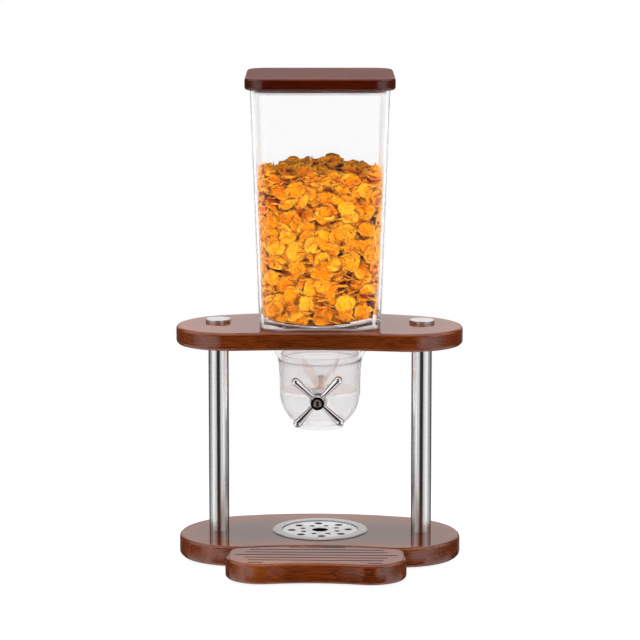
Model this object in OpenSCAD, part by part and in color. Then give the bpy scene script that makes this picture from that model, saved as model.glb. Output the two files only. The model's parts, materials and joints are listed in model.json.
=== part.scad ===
// Gravity bulk food bin on a wooden stand.
// Z = 0 is the surface it stands on, X = 0 the middle, Y = 0 midway between the back edge and the front lobes.

/* [Base board] */
// Overall width of the base board
base_w = 346; // [330:1:380]
// Thickness of the base board
base_t = 25; // [20:0.5:35]
// Radius of the rounded ends of the base board
base_end_r = 98; // [80:1:105]
// Radius of the shallow back edge of the base board
base_back_r = 354; // [300:1:500]
// Radius of the front lobes of the base board
base_lobe_r = 72; // [60:1:78]
// Direction from an end's centre to its front lobe, below the X axis
base_lobe_angle = 25; // [15:1:40]
// Radius of the hollow front edge between the lobes
base_waist_r = 360; // [300:1:500]
// How far the ends' centres lie in front of the posts
base_end_y = 14; // [5:0.5:25]
// Roundover of the board edges
edge_round = 4.5; // [2:0.5:8]

/* [Shelf board] */
// Overall width of the shelf board
shelf_w = 350; // [330:1:380]
// Thickness of the shelf board
shelf_t = 22; // [18:0.5:30]
// Radius of the rounded ends of the shelf board
shelf_end_r = 82; // [76:1:90]
// Radius of the shallow back edge of the shelf board
shelf_back_r = 312; // [280:1:400]
// Radius of the front lobes of the shelf board
shelf_lobe_r = 65; // [55:1:72]
// Direction from an end's centre to its front lobe, below the X axis
shelf_lobe_angle = 20; // [10:1:35]
// Radius of the hollow front edge between the lobes
shelf_waist_r = 615; // [500:5:800]
// How far the ends' centres lie in front of the posts
shelf_end_y = 21; // [12:0.5:28]

/* [Rest block] */
// Overall width of the front rest block
block_w = 217; // [200:1:230]
// Gap between the rest block and the base board
block_gap = 1; // [0.5:0.1:3]
// Radius of the back corners of the rest block
block_corner_r = 14; // [8:1:18]
// Distance between the back corners' centres and the block's sides
block_corner_in = 16.5; // [15:0.5:24]
// Radius of the rounded sides of the rest block
block_side_r = 43.5; // [36:0.5:48]
// How far the sides' centres lie in front of the back corners' centres
block_side_y = 29.5; // [24:0.5:40]
// Radius of the hollow front edge of the rest block
block_waist_r = 242; // [200:1:320]
// Width of a drain groove
groove_w = 3.2; // [2:0.1:5]
// Depth of a drain groove
groove_depth = 2.2; // [1:0.1:4]
// Distance from one groove to the next
groove_pitch = 13.4; // [10:0.1:15]
// Distance from the block's back edge to the first groove
groove_first = 8; // [7:0.5:12]
// Half lengths of the full grooves, from back to front
groove_halves = [34, 81, 86, 97, 86, 81];
// Middle of the two short front grooves, from the centre line
groove_short_x = 71; // [60:1:76]
// Half length of the two short front grooves
groove_short_half = 9; // [6:0.5:14]
// Diameter of the dowels between base board and rest block
dowel_d = 8; // [6:0.5:10]
// Length of a dowel
dowel_len = 34; // [24:1:44]
// Distance from the centre line to a dowel
dowel_x = 62; // [45:1:75]

/* [Posts] */
// Diameter of the post tubes
post_d = 25; // [19:0.5:32]
// Wall of the post tubes
post_wall = 1.5; // [1:0.1:2.5]
// Free length of the posts between base board and shelf board
post_len = 239; // [200:1:300]
// Distance from the base board's widest point to a post's axis
post_inset = 48; // [40:1:55]
// Depth of the seats that locate the posts in the boards
seat_depth = 2; // [1:0.5:4]
// Diameter of the cap over each post
cap_d = 31; // [27:0.5:38]
// Thickness of the cap over each post
cap_t = 3.9; // [3:0.1:6]
// Diameter of the cap's threaded boss
cap_boss_d = 14; // [12:0.5:17]
// Length of the cap's threaded boss
cap_boss_len = 14; // [10:0.5:17]
// Diameter of the tie rods
rod_d = 8; // [6:0.5:9]
// Diameter of the counterbores for the rod nuts
nut_pocket_d = 20; // [18.5:0.5:24]
// Depth of the counterbores for the rod nuts
nut_pocket_depth = 11; // [9.5:0.5:14]
// Diameter of the rod washers
washer_d = 17; // [15:0.5:18]
// Thickness of the rod washers
washer_t = 1.6; // [1:0.1:2.4]
// Width across the flats of the rod nuts
nut_af = 13; // [12:0.5:15]
// Height of the rod nuts
nut_h = 6.5; // [5:0.1:7]

/* [Feet] */
// Diameter of the feet
foot_d = 18; // [14:0.5:24]
// Height of the feet below the boards
foot_h = 2; // [1.5:0.1:5]
// Diameter of a foot's plug
foot_plug_d = 8; // [6:0.5:10]
// Length of a foot's plug
foot_plug_len = 5; // [4:0.5:8]
// Distance from the base board's widest point to a foot's axis
foot_inset = 55; // [46:1:70]
// Distance from the posts to the base feet, front and back
foot_y = 46; // [38:1:52]
// Distance from the centre line to the rest block feet
block_foot_x = 66; // [55:1:75]

/* [Drip dish] */
// Diameter of the dish's rim
dish_rim_d = 118.5; // [112:0.5:126]
// How far the rim stands proud of the base board
dish_proud = 1.5; // [1.2:0.1:3]
// Diameter of the strainer plate
strainer_d = 93.6; // [88:0.2:97]
// Thickness of the strainer plate
strainer_t = 1.2; // [0.8:0.1:2]
// Sheet thickness of the dish
dish_wall = 1; // [0.6:0.1:1.5]
// Depth of the dish below the base board's top
dish_depth = 14; // [10:0.5:16]
// Width of the ledge that carries the strainer
ledge_w = 2.6; // [2:0.1:4]
// Diameter of the strainer's finger hole
finger_hole_d = 20; // [16:0.5:24]
// Diameter of the large strainer holes
large_hole_d = 10; // [7:0.5:11]
// Radius of the ring of large strainer holes
large_ring_r = 35; // [34.5:0.5:37]
// Diameter of the small strainer holes
small_hole_d = 7; // [5:0.5:8]
// Radius of the ring of small strainer holes
small_ring_r = 22.5; // [21:0.5:23]
// Holes in each ring
strainer_holes = 8; // [6:1:8]
// Turn of the strainer's hole pattern
strainer_turn = 5; // [0:1:45]

/* [Hopper] */
// Height of the hopper above the shelf
hopper_h = 290.5; // [240:0.5:340]
// Width of the hopper at the rim
hopper_top_w = 168; // [164:0.5:174]
// Width of the hopper at the shelf
hopper_low_w = 147; // [138:0.5:152]
// Turn of the hopper in its round seat, with the lid on it
bin_turn = 2; // [0:0.5:10]
// Wall of the hopper
hopper_wall = 3.5; // [2.5:0.1:4.5]
// Radius of the hopper's corners
hopper_corner_r = 22; // [16:0.5:30]
// Roundover of the hopper's lower edge
hopper_low_round = 6.5; // [4:0.5:8]
// Diameter of the neck where it passes the shelf
neck_d = 118; // [112:0.5:122]
// Diameter of the neck's lower end
neck_low_d = 103.2; // [100:0.2:108]
// Wall of the neck
neck_wall = 3; // [2.5:0.1:3.5]
// How far the neck hangs below the shelf
neck_drop = 23.5; // [20:0.5:30]
// Height of the neck's lower cylindrical mouth
neck_mouth_h = 8; // [6:0.5:10]
// Height of the bowl floor's inner edge above the shelf
bowl_low = 3; // [2:0.5:6]
// Height of the bowl floor at the hopper's corners above its inner edge
bowl_rise = 17; // [10:0.5:24]

/* [Lid] */
// Width of the lid
lid_w = 180.5; // [176:0.5:190]
// Thickness of the lid
lid_t = 15; // [10:0.5:22]
// Radius of the lid's corners
lid_corner_r = 26; // [18:0.5:34]
// Roundover of the lid's edges
lid_round = 3.5; // [2:0.5:6]
// Height of the plug's collar under the lid
plug_collar_h = 2.6; // [2:0.1:4]
// Height of the seal round the plug
seal_h = 3; // [2:0.1:5]
// Width of the step that the seal is stretched round
seal_depth = 5; // [3:0.5:7]
// Diameter of the screws that hold the plug
screw_d = 4; // [3:0.5:5]
// Length of the screws that hold the plug
screw_len = 14; // [12:0.5:15]
// Distance from the lid's middle to the screws
screw_x = 50; // [30:1:60]

/* [Outlet] */
// How far the axle lies below the shelf
axle_drop = 63.5; // [63:0.5:76]
// Inner radius of the housing's ball-shaped bowl
bowl_r = 47.3; // [44:0.1:47.5]
// Wall of the housing
housing_wall = 2.2; // [1.8:0.1:2.8]
// Outer diameter of the outlet spout
mouth_d = 57; // [50:0.5:72]
// Length of the outlet spout below the bowl
spout_h = 3.8; // [1:0.1:8]
// Height of the collar that plugs into the neck
collar_h = 8; // [6:0.5:8]
// Thickness of the gasket between neck and housing
gasket_t = 1.2; // [0.8:0.1:2]
// Diameter of the housing's bearing bosses
boss_d = 25.6; // [22:0.2:30]
// Distance from the middle of the bowl to a boss's face
boss_reach = 51; // [50.5:0.5:56]
// Length of the front bushing
bushing_len = 17; // [10:0.5:20]
// Diameter of the rear bushing's flange
rear_flange_d = 21; // [18:0.5:24]
// Thickness of the rear bushing's flange
rear_flange_t = 3; // [2:0.5:5]
// Diameter of the bushings' spigots
spigot_d = 14; // [12:0.5:16]

/* [Rotor] */
// Diameter of the axle
axle_d = 8; // [6:0.5:9]
// Depth of the drive flats on the axle
flat_depth = 0.9; // [0.5:0.1:1.4]
// Paddles on the wheel
paddles = 6; // [5:1:7]
// Thickness of a paddle at its root
paddle_t = 2.6; // [1.8:0.1:3.5]
// Clearance between the paddles and the bowl
paddle_gap = 0.9; // [0.5:0.1:1.5]
// Diameter of the wheel's hub
hub_d = 15; // [13:0.5:18]
// Clearance between the wheel and the bushings
hub_gap = 9; // [2.6:0.2:12]
// Diameter of the handle's hub
handle_hub_d = 16; // [13:0.5:20]
// Length of the handle's hub
handle_hub_len = 19; // [14:0.5:24]
// Distance from the back of the handle's hub to its arms
arm_back = 5; // [4:0.5:8]
// Turn of the handle at rest
handle_turn = 2.4; // [0:0.2:10]
// Arms of the handle
handle_arms = 4; // [3:1:5]
// Reach of a handle arm from the axle to its tip
arm_reach = 41.2; // [34:0.1:50]
// Forward tilt of the handle arms
arm_tilt = 3; // [0:1:20]
// Diameter of an arm where it leaves the hub
arm_neck_d = 5.2; // [4:0.1:6.4]
// Diameter of the ball at the end of an arm
ball_d = 10.2; // [9:0.1:12]
// Diameter of the dome nut
dome_d = 16; // [13:0.5:19]
// Height of the dome nut
dome_h = 5.5; // [4.5:0.5:8]
// Width of the rim round the dome
dome_rim = 1.9; // [1:0.1:2.5]
// Thickness of the washer behind the handle
thrust_t = 1; // [0.6:0.1:2]
// Diameter of the retaining clip
clip_d = 14; // [12:0.5:18]
// Thickness of the retaining clip
clip_t = 1; // [0.8:0.1:1.5]

/* [Fits] */
// Clearance between a fixed piece and its seat
seat_gap = 0.1; // [0.05:0.05:0.3]
// Radial clearance of the axle in its bushings
run_gap = 0.05; // [0.02:0.01:0.1]
// Clearance between pieces that turn or lift past each other
free_gap = 0.3; // [0.2:0.05:0.6]
// End clearance of the turning pieces against the bushings
turn_gap = 0.15; // [0.1:0.05:0.3]
// Clearance of the neck in the shelf's hole
neck_gap = 1; // [0.5:0.1:3]

/* [Hidden] */

walnut = "#6b2f14";
dark_walnut = "#4a1c0a";
steel = "#b9bcbf";
chromed = "#d9dde0";
clear = "#dfe6ea";
cream = "#efe3cf";

arc_step = 6;           // most degrees that one segment of an outline turns
round_steps = 3;        // segments of one edge roundover
weld = 0.01;            // points closer than this are one point
over = 1;               // how far a cut runs past the surface it opens

post_x = base_w / 2 - post_inset;
foot_x = base_w / 2 - foot_inset;
base_top = foot_h + base_t;
shelf_low = base_top + post_len;
shelf_top = shelf_low + shelf_t;
rim_z = shelf_top + hopper_h;
lid_top = rim_z + lid_t;
axle_z = shelf_low - axle_drop;

// Outlines, measured from the line through the posts.
// Each is a chain of tangent arcs: [centre, radius, first angle, last angle, +1 convex or -1 hollow].
function polar(r, a) = [r * cos(a), r * sin(a)];
function arc(chain, inset) = let (turn = chain[3] - chain[2], steps = max(2, ceil(abs(turn) / arc_step)))
    [for (i = [0:steps]) chain[0] + polar(chain[1] - chain[4] * inset, chain[2] + turn * i / steps)];
function mirrored(half) = concat(half, [for (i = [len(half) - 2:-1:1]) [-half[i].x, half[i].y]]);
function outline(chains, inset) = let (half = [for (c = chains) each arc(c, inset)])
    mirrored([for (i = [0:len(half) - 1]) if (i == 0 || norm(half[i] - half[i - 1]) > weld) half[i]]);

// The hollow front arc that touches a front lobe: its centre lies on the middle line.
function waist_centre(lobe, lobe_r, waist_r) = [0, lobe.y - sqrt(pow(waist_r + lobe_r, 2) - pow(lobe.x, 2))];

// Right half of an oval board: back arc, end, front lobe, hollow front.
function oval_chains(w, end_r, end_y, back_r, lobe_r, lobe_angle, waist_r) =
    let (end = [w / 2 - end_r, -end_y],
        back = [0, end.y - sqrt(pow(back_r - end_r, 2) - pow(end.x, 2))],
        lobe = end + polar(end_r - lobe_r, -lobe_angle),
        waist = waist_centre(lobe, lobe_r, waist_r),
        back_a = atan2(end.y - back.y, end.x),
        waist_a = atan2(lobe.y - waist.y, lobe.x))
    [[back, back_r, 90, back_a, 1], [end, end_r, back_a, -lobe_angle, 1],
        [lobe, lobe_r, -lobe_angle, waist_a - 180, 1], [waist, waist_r, waist_a, 90, -1]];

base_chains = oval_chains(base_w, base_end_r, base_end_y, base_back_r, base_lobe_r, base_lobe_angle, base_waist_r);
shelf_chains = oval_chains(shelf_w, shelf_end_r, shelf_end_y, shelf_back_r, shelf_lobe_r, shelf_lobe_angle,
    shelf_waist_r);

// Right half of the rest block: its back arc runs parallel to the base board's hollow front.
base_front = base_chains[3][0];
block_back_r = base_waist_r - block_gap;
block_corner_x = block_w / 2 - block_corner_in;
block_corner = [block_corner_x,
    base_front.y + sqrt(pow(block_back_r - block_corner_r, 2) - pow(block_corner_x, 2))];
block_side = [block_w / 2 - block_side_r, block_corner.y - block_side_y];
block_lean = atan2(block_corner.y - block_side.y, block_corner.x - block_side.x)
    - acos((block_side_r - block_corner_r) / norm(block_corner - block_side));
block_waist = waist_centre(block_side, block_side_r, block_waist_r);
block_waist_a = atan2(block_side.y - block_waist.y, block_side.x);
block_chains = [
    [base_front, block_back_r, 90, atan2(block_corner.y - base_front.y, block_corner.x), 1],
    [block_corner, block_corner_r, atan2(block_corner.y - base_front.y, block_corner.x), block_lean, 1],
    [block_side, block_side_r, block_lean, block_waist_a - 180, 1],
    [block_waist, block_waist_r, block_waist_a, 90, -1]];

base_back_y = base_chains[0][0].y + base_back_r;
block_back_y = base_front.y + block_back_r;
block_front_y = block_side.y - block_side_r;
post_y = -(base_back_y + block_front_y) / 2;    // puts Y = 0 in the middle of the whole depth

// Rounded square of half width w.
function rounded_square(w, corner_r, steps) = [for (q = [0:3]) each [for (i = [0:steps])
    let (a = q * 90 + 90 * i / steps) polar(corner_r, a)
        + (w - corner_r) * [q == 0 || q == 3 ? 1 : -1, q < 2 ? 1 : -1]]];

// A closed body through equal rings of [points, height], from the lowest to the highest.
module loft(rings) {
    n = len(rings[0][0]);
    points = [for (ring = rings) each [for (p = ring[0]) [p.x, p.y, ring[1]]]];
    sides = [for (k = [0:len(rings) - 2]) each [for (i = [0:n - 1])
        let (a = k * n + i, b = k * n + (i + 1) % n) [a, b, b + n, a + n]]];
    ends = [[for (i = [n - 1:-1:0]) i], [for (i = [0:n - 1]) (len(rings) - 1) * n + i]];
    faces = concat(sides, ends);
    polyhedron(points, [for (f = faces) [for (i = [len(f) - 1:-1:0]) f[i]]]);
}

// Insets and heights of a board's rings: a quarter round below and another above.
function board_levels(t, r) = concat(
    [for (i = [0:round_steps]) let (a = 90 * i / round_steps) [r * (1 - sin(a)), r * (1 - cos(a))]],
    [for (i = [round_steps:-1:0]) let (a = 90 * i / round_steps) [r * (1 - sin(a)), t - r * (1 - cos(a))]]);

// A board with its lower face at z = 0, given by the right half of its outline.
module board(chains, t, r) {
    loft([for (level = board_levels(t, r))
        [[for (p = outline(chains, level[0])) [-p.x, p.y]], level[1]]]);
}

module at_posts() {
    for (side = [-1, 1]) translate([side * post_x, post_y, 0]) children();
}

module at_base_feet() {
    for (x = [-foot_x, foot_x]) for (y = [-foot_y, foot_y]) translate([x, post_y + y, 0]) children();
}

module at_block_feet() {
    for (side = [-1, 1]) translate([side * block_foot_x, post_y + block_side.y, 0]) children();
}

// Things that turn about the axle, drawn along +Z, laid towards the front.
module on_axle() {
    translate([0, post_y, axle_z]) rotate([90, 0, 0]) children();
}

module ring(r_out, r_in, h) {
    difference() {
        cylinder(r = r_out, h = h, $fn = 96);
        translate([0, 0, -over]) cylinder(r = r_in, h = h + 2 * over, $fn = 96);
    }
}

// ---- Base board and what it carries ----

dowel_z = foot_h + base_t / 2;
dowel_in = dowel_len / 2;           // length of a dowel in the base board
dowel_edge_y = base_front.y + sqrt(pow(base_waist_r, 2) - pow(dowel_x, 2));

module base_board() {
    color(walnut) difference() {
        translate([0, post_y, foot_h]) board(base_chains, base_t, edge_round);
        translate([0, post_y, base_top - dish_depth - seat_gap])
            cylinder(r = dish_body_r + free_gap, h = dish_depth + over, $fn = 96);
        at_posts() {
            translate([0, 0, base_top - seat_depth]) cylinder(r = post_d / 2 + seat_gap, h = over + seat_depth, $fn = 64);
            cylinder(r = rod_d / 2 + seat_gap, h = base_top + over, $fn = 48);
            translate([0, 0, foot_h - over]) cylinder(d = nut_pocket_d, h = nut_pocket_depth + over, $fn = 48);
        }
        at_base_feet() translate([0, 0, foot_h - over])
            cylinder(d = foot_plug_d + seat_gap, h = foot_plug_len + over + seat_gap, $fn = 48);
        at_dowels() translate([0, 0, -over])
            cylinder(r = dowel_d / 2 + free_gap / 2, h = dowel_in + seat_gap + over, $fn = 48);
    }
}

// Where the dowels cross the board's hollow front edge, drawn along +Z, laid towards the back.
module at_dowels() {
    for (side = [-1, 1]) translate([side * dowel_x, post_y + dowel_edge_y, dowel_z]) rotate([-90, 0, 0]) children();
}

// A foot: a pad with a softened rim under a plug.
module foot() {
    rim = foot_h / 3;
    rotate_extrude($fn = 48) polygon([[0, 0], [foot_d / 2 - rim, 0], [foot_d / 2, rim], [foot_d / 2, foot_h],
        [foot_plug_d / 2, foot_h], [foot_plug_d / 2, foot_h + foot_plug_len], [0, foot_h + foot_plug_len]]);
}

module base_feet() {
    color("#3a3a3a") at_base_feet() foot();
}

// ---- Posts ----

module post() {
    translate([0, post_y, base_top - seat_depth])
        ring(post_d / 2, post_d / 2 - post_wall, post_len + 2 * seat_depth);
}

module left_post() {
    color(steel) translate([-post_x, 0, 0]) post();
}

module right_post() {
    color(steel) translate([post_x, 0, 0]) post();
}

nut_seat_z = foot_h + nut_pocket_depth;         // roof of the counterbore
rod_low = nut_seat_z - washer_t - nut_h - 0.5;
rod_high = shelf_top - over;

module tie_rod() {
    translate([0, post_y, rod_low]) cylinder(d = rod_d, h = rod_high - rod_low, $fn = 48);
}

module left_tie_rod() {
    color("gray") translate([-post_x, 0, 0]) tie_rod();
}

module right_tie_rod() {
    color("gray") translate([post_x, 0, 0]) tie_rod();
}

module rod_washers() {
    color("silver") at_posts() translate([0, 0, nut_seat_z - washer_t])
        ring(washer_d / 2, rod_d / 2 + seat_gap, washer_t);
}

module rod_nuts() {
    color("silver") at_posts() translate([0, 0, nut_seat_z - washer_t - nut_h]) difference() {
        cylinder(d = nut_af / cos(30), h = nut_h, $fn = 6);
        translate([0, 0, -over]) cylinder(r = rod_d / 2 + run_gap, h = nut_h + 2 * over, $fn = 48);
    }
}

// A cap: a disc with a rounded upper edge, over a boss that takes the end of the tie rod.
module post_cap() {
    round = cap_t / 3;
    rod_r = rod_d / 2 + run_gap;
    translate([0, post_y, shelf_top]) rotate_extrude($fn = 96) union() {
        polygon([[rod_r, -cap_boss_len], [cap_boss_d / 2, -cap_boss_len], [cap_boss_d / 2, 0], [cap_d / 2, 0],
            [cap_d / 2, cap_t - round], [cap_d / 2 - round, cap_t], [0, cap_t], [0, 0], [rod_r, 0]]);
        translate([cap_d / 2 - round, cap_t - round]) circle(r = round, $fn = 32);
    }
}

module left_cap() {
    color(steel) translate([-post_x, 0, 0]) post_cap();
}

module right_cap() {
    color(steel) translate([post_x, 0, 0]) post_cap();
}

module shelf_board() {
    color(walnut) difference() {
        translate([0, post_y, shelf_low]) board(shelf_chains, shelf_t, edge_round);
        translate([0, post_y, shelf_low - over])
            cylinder(r = neck_d / 2 + neck_gap, h = shelf_t + 2 * over, $fn = 128);
        at_posts() {
            translate([0, 0, shelf_low - over]) cylinder(r = post_d / 2 + seat_gap, h = seat_depth + over, $fn = 64);
            translate([0, 0, shelf_low]) cylinder(r = rod_d / 2 + seat_gap, h = shelf_t + over, $fn = 48);
            translate([0, 0, shelf_top - cap_boss_len - seat_gap])
                cylinder(r = cap_boss_d / 2 + seat_gap, h = cap_boss_len + over + seat_gap, $fn = 48);
        }
    }
}

// ---- Hopper ----

corner_steps = 8;
neck_low_z = shelf_low - neck_drop;
throat_r = neck_d / 2 - neck_wall;
mouth_r = neck_low_d / 2 - neck_wall;

// Half width of the hopper's outside at a height above the shelf.
function hopper_half(h) = (hopper_low_w + (hopper_top_w - hopper_low_w) * h / hopper_h) / 2;
function hopper_ring(h, inset) = [rounded_square(hopper_half(h) - inset,
    hopper_corner_r - min(inset, hopper_corner_r / 2), corner_steps), shelf_top + h];

// The bowl floor: low at the throat, curving up towards the corners.
bowl_edge_r = hopper_half(0) * sqrt(2);
bowl_steps = 10;
function bowl_curve(lift) = [for (i = [0:bowl_steps]) let (t = i / bowl_steps)
    [throat_r + (bowl_edge_r - throat_r) * t, bowl_low + bowl_rise * t * t + lift]];

// The bin and its lid stand slightly turned: the round neck lets them.
module on_bin(z) {
    translate([0, post_y, z]) rotate([0, 0, bin_turn]) children();
}

module hopper_bin() {
    quarter = [for (i = [0:4]) let (a = 90 * i / 4) [hopper_low_round * (1 - sin(a)), hopper_low_round * (1 - cos(a))]];
    inner_w = hopper_wall;
    color(clear, 0.35) on_bin(0) union() {
        difference() {
            loft(concat([for (q = quarter) hopper_ring(q[1], q[0])], [hopper_ring(hopper_h, 0)]));
            // the room above the bowl floor
            intersection() {
                loft([hopper_ring(0, inner_w), hopper_ring(hopper_h + over, inner_w)]);
                translate([0, 0, shelf_top]) rotate_extrude($fn = 96)
                    polygon(concat([[0, bowl_low]], bowl_curve(0), [[hopper_top_w, bowl_low + bowl_rise],
                        [hopper_top_w, hopper_h + 2 * over], [0, hopper_h + 2 * over]]));
            }
            // the hollow under the bowl floor
            intersection() {
                loft([hopper_ring(-over, hopper_low_round + inner_w), hopper_ring(hopper_low_round, inner_w),
                    hopper_ring(bowl_low + bowl_rise, inner_w)]);
                translate([0, 0, shelf_top]) rotate_extrude($fn = 96)
                    polygon(concat([[throat_r + neck_wall, -2 * over], [throat_r + neck_wall, bowl_low - inner_w]],
                        [for (p = bowl_curve(-inner_w)) if (p.x > throat_r + neck_wall) p],
                        [[bowl_edge_r, -2 * over]]));
            }
            translate([0, 0, shelf_top - over]) cylinder(r = throat_r, h = bowl_low + 2 * over, $fn = 96);
        }
        neck();
    }
}

// The neck: a straight throat through the shelf, then a cone to a short cylindrical mouth.
module neck() {
    cone_top = shelf_low - neck_drop + neck_mouth_h + (throat_r - mouth_r) * 2;
    rotate_extrude($fn = 96) polygon([[throat_r, shelf_top + bowl_low - hopper_wall / 2], [throat_r, cone_top],
        [mouth_r, neck_low_z + neck_mouth_h], [mouth_r, neck_low_z], [mouth_r + neck_wall, neck_low_z],
        [throat_r + neck_wall, cone_top - neck_mouth_h], [throat_r + neck_wall, shelf_top + bowl_low - hopper_wall / 2]]);
}

// ---- Lid ----

plug_inset = hopper_wall + 2 * free_gap;        // from the hopper's outside to the plug
lid_z = rim_z + 0.02;                           // a hair above the rim, so that the lid lifts off freely
seal_proud = free_gap;                          // how far the seal stands out of the plug
plug_h = plug_collar_h + seal_h;
plug_half = hopper_half(hopper_h - plug_h) - plug_inset;
plug_corner_r = hopper_corner_r - plug_inset;

module lid_board() {
    color(dark_walnut) on_bin(lid_z)
        difference() {
            loft([for (level = board_levels(lid_t, lid_round))
                [rounded_square(lid_w / 2 - level[0], lid_corner_r - level[0], corner_steps), level[1]]]);
            at_screws() translate([0, 0, -over])
                cylinder(d = screw_d + 2 * run_gap, h = over + screw_hold + seat_gap, $fn = 32);
        }
}

screw_hold = screw_len - plug_h;                // how far a screw goes into the lid

module at_screws() {
    for (x = [-screw_x, screw_x]) for (y = [-screw_x, screw_x]) translate([x, y, 0]) children();
}

module square_slab(half, corner_r, h) {
    linear_extrude(h) union() {
        square([2 * half, 2 * (half - corner_r)], center = true);
        square([2 * (half - corner_r), 2 * half], center = true);
        for (x = [-1, 1]) for (y = [-1, 1]) translate([x, y] * (half - corner_r)) circle(r = corner_r, $fn = 64);
    }
}

module lid_plug() {
    color(dark_walnut) on_bin(lid_z - plug_h) difference() {
        union() {
            square_slab(plug_half - seal_depth, plug_corner_r - seal_depth, plug_h);
            translate([0, 0, seal_h]) square_slab(plug_half, plug_corner_r, plug_collar_h);
        }
        at_screws() {
            translate([0, 0, -over]) cylinder(d = screw_d + 2 * run_gap, h = plug_h + 2 * over, $fn = 32);
            translate([0, 0, -seat_gap]) cylinder(d1 = 2 * (screw_d + run_gap + seat_gap), d2 = screw_d + 2 * run_gap,
                h = screw_d / 2 + seat_gap, $fn = 32);
        }
    }
}

module lid_seal() {
    color("white", 0.6) on_bin(lid_z - plug_h) difference() {
        square_slab(plug_half + seal_proud, plug_corner_r + seal_proud, seal_h);
        translate([0, 0, -over]) square_slab(plug_half - seal_depth, plug_corner_r - seal_depth, seal_h + 2 * over);
    }
}

// Countersunk screws, heads down, flush with the plug.
module lid_screws() {
    color("silver") on_bin(lid_z - plug_h) at_screws() union() {
        cylinder(d = screw_d, h = screw_len, $fn = 32);
        cylinder(d1 = 2 * screw_d, d2 = screw_d, h = screw_d / 2, $fn = 32);
    }
}

// ---- Outlet housing ----

bowl_out_r = bowl_r + housing_wall;
shoulder_z = neck_low_z - gasket_t;
shoulder_h = shoulder_z - axle_z;                   // shoulder above the axle
mouth_low = sqrt(pow(bowl_out_r, 2) - pow(mouth_d / 2, 2));    // depth at which the ball meets the spout
spout_low = mouth_low + spout_h;
boss_root = bowl_r + housing_wall / 10;             // a boss starts inside the bowl's wall
collar_r = mouth_r - seat_gap;
neck_lip = 0.4;                                     // how far the neck stands out over the housing
shoulder_r = mouth_r + neck_wall - neck_lip;

straight_h = boss_d / 2 + 2;                        // the bosses stand on a straight band of wall

// A spout, a ball below the axle, a straight band, a slight cone up to the shoulder, then the collar.
module housing_form(ball, mouth, low, cone_r, cone_h, collar, top) {
    rotate_extrude($fn = 96) union() {
        intersection() {
            circle(r = ball, $fn = 96);
            translate([0, -mouth_low]) square([2 * ball, mouth_low]);
        }
        translate([0, -low]) square([mouth, low]);
        polygon([[0, -over], [ball, 0], [ball, straight_h], [cone_r, cone_h], [collar, cone_h], [collar, top], [0, top]]);
    }
}

module outlet_housing() {
    color(clear, 0.35) translate([0, post_y, axle_z]) difference() {
        union() {
            difference() {
                housing_form(bowl_out_r, mouth_d / 2, spout_low, shoulder_r, shoulder_h, collar_r, shoulder_h + collar_h);
                housing_form(bowl_r, mouth_d / 2 - housing_wall, spout_low + over, shoulder_r - housing_wall,
                    shoulder_h - housing_wall, collar_r - housing_wall, shoulder_h + collar_h + over);
            }
            for (a = [90, -90]) rotate([a, 0, 0]) translate([0, 0, boss_root])
                cylinder(d = boss_d, h = boss_reach - boss_root, $fn = 64);
        }
        for (a = [90, -90]) rotate([a, 0, 0]) translate([0, 0, boss_root / 2])
            cylinder(d = spigot_d + seat_gap, h = boss_reach, $fn = 48);
    }
}

module housing_gasket() {
    color("white", 0.6) translate([0, post_y, shoulder_z]) ring(mouth_r + neck_wall - neck_lip / 2, mouth_r, gasket_t);
}

spigot_len = boss_reach - sqrt(pow(bowl_r, 2) - pow(spigot_d / 2, 2));

module front_bushing() {
    chamfer = 0.8;
    axle_hole = axle_d / 2 + run_gap;
    color("#8f9295") on_axle() rotate_extrude($fn = 64) polygon([[axle_hole, boss_reach - spigot_len],
        [spigot_d / 2, boss_reach - spigot_len], [spigot_d / 2, boss_reach], [boss_d / 2, boss_reach],
        [boss_d / 2, boss_reach + bushing_len - chamfer], [boss_d / 2 - chamfer, boss_reach + bushing_len],
        [axle_hole, boss_reach + bushing_len]]);
}

module rear_bushing() {
    axle_hole = axle_d / 2 + run_gap;
    color("#8f9295") on_axle() mirror([0, 0, 1]) rotate_extrude($fn = 64) polygon([[axle_hole, boss_reach - spigot_len],
        [spigot_d / 2, boss_reach - spigot_len], [spigot_d / 2, boss_reach], [rear_flange_d / 2, boss_reach],
        [rear_flange_d / 2, boss_reach + rear_flange_t], [axle_hole, boss_reach + rear_flange_t]]);
}

// ---- Rotor ----

thrust_y = boss_reach + bushing_len + turn_gap;     // back of the washer behind the handle
handle_y = thrust_y + thrust_t;                     // back of the handle's hub
dome_y = handle_y + handle_hub_len;
clip_y = boss_reach + rear_flange_t + turn_gap;
axle_front = dome_y + dome_h / 2;
axle_back = clip_y + clip_t + 2;
hub_half = boss_reach - spigot_len - hub_gap;
flat_y = axle_d / 2 - flat_depth;

module axle() {
    color(steel) on_axle() difference() {
        translate([0, 0, -axle_back]) cylinder(d = axle_d, h = axle_front + axle_back, $fn = 48);
        translate([-axle_d / 2 - over, flat_y, -hub_half]) cube([axle_d + 2 * over, axle_d, 2 * hub_half]);
        translate([-axle_d / 2 - over, flat_y, handle_y]) cube([axle_d + 2 * over, axle_d, axle_front - handle_y + over]);
        translate([0, 0, -clip_y - clip_t - turn_gap / 3]) ring(axle_d, axle_d / 2 - flat_depth, clip_t + turn_gap * 2 / 3);
    }
}

// A hole for the axle's flat stretch.
module drive_hole(h) {
    difference() {
        cylinder(r = axle_d / 2 + run_gap, h = h, $fn = 48);
        translate([-axle_d, flat_y + run_gap, -over]) cube([2 * axle_d, axle_d, h + 2 * over]);
    }
}

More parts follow.
